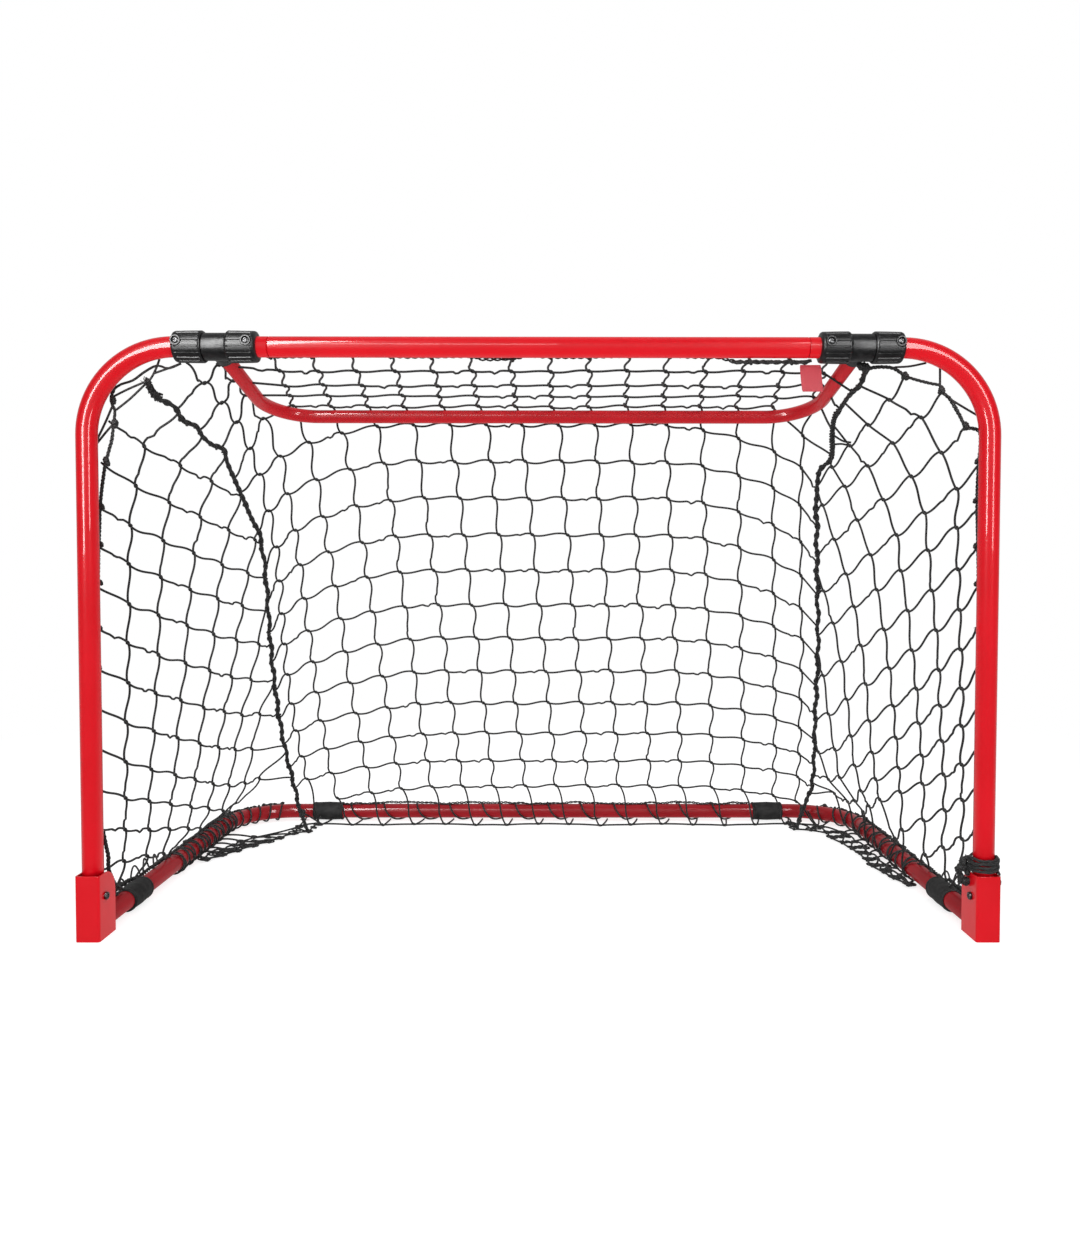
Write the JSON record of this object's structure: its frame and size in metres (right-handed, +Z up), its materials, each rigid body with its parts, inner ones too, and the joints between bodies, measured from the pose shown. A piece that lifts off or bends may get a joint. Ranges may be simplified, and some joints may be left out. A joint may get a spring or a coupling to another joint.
{
  "type": "folding street goal",
  "caption": "Small folding street hockey goal: round steel tube arch, hinged ground tube and roof bar, loose knotted twine net.",
  "frame": {"origin": "on the floor, in the middle of the rectangle that the goal covers", "axes": "+X to the right as seen from in front of the mouth, +Y from the mouth to the back of the goal, +Z up"},
  "size_m": [0.907, 0.4788, 0.5952],
  "materials": {
    "red_paint": "glossy red powder coat on steel tube and sheet",
    "black_plastic": "moulded black plastic with a soft sheen",
    "black_rubber": "dull black rubber",
    "dark_steel": "blackened steel",
    "black_twine": "knotted black polyethylene twine",
    "red_strap": "plain red woven tab"
  },
  "bodies": {
    "front_frame": {"left_corner_tube": "red_paint", "right_corner_tube": "red_paint", "crossbar_tube": "red_paint", "left_outer_collar": "black_plastic", "left_inner_collar": "black_plastic", "right_inner_collar": "black_plastic", "right_outer_collar": "black_plastic", "left_outer_screw": "dark_steel", "left_inner_screw": "dark_steel", "right_inner_screw": "dark_steel", "right_outer_screw": "dark_steel", "left_edge_cord": "black_twine", "right_edge_cord": "black_twine", "crossbar_lacing": "black_twine", "foot_cord_wrap": "black_twine", "strap_tab": "red_strap", "back_net": "black_twine", "left_side_net": "black_twine", "right_side_net": "black_twine", "left_seam_cord": "black_twine", "right_seam_cord": "black_twine"},
    "ground_frame": {"ground_tube": "red_paint", "left_bracket": "red_paint", "right_bracket": "red_paint", "left_hinge_bolt": "dark_steel", "right_hinge_bolt": "dark_steel", "left_rear_sleeve": "black_rubber", "right_rear_sleeve": "black_rubber", "left_side_sleeve": "black_rubber", "right_side_sleeve": "black_rubber", "left_ground_lacing": "black_twine", "rear_ground_lacing": "black_twine", "right_ground_lacing": "black_twine"},
    "roof": {"roof_bar": "red_paint", "left_pivot_barrel": "black_plastic", "right_pivot_barrel": "black_plastic", "roof_net": "black_twine"}
  },
  "joints": [
    {"name": "base_fold", "type": "hinge", "parent": "front_frame", "child": "ground_frame", "pos_m": [0, -0.22355, 0.042], "axis": [1, 0, 0], "range_deg": [0, 90], "deforming": ["back_net", "left_side_net", "right_side_net", "left_seam_cord", "right_seam_cord"]},
    {"name": "roof_fold", "type": "hinge", "parent": "front_frame", "child": "roof", "pos_m": [0, -0.22355, 0.58], "axis": [-1, 0, 0], "range_deg": [0, 78], "deforming": ["back_net", "strap_tab"]}
  ]
}
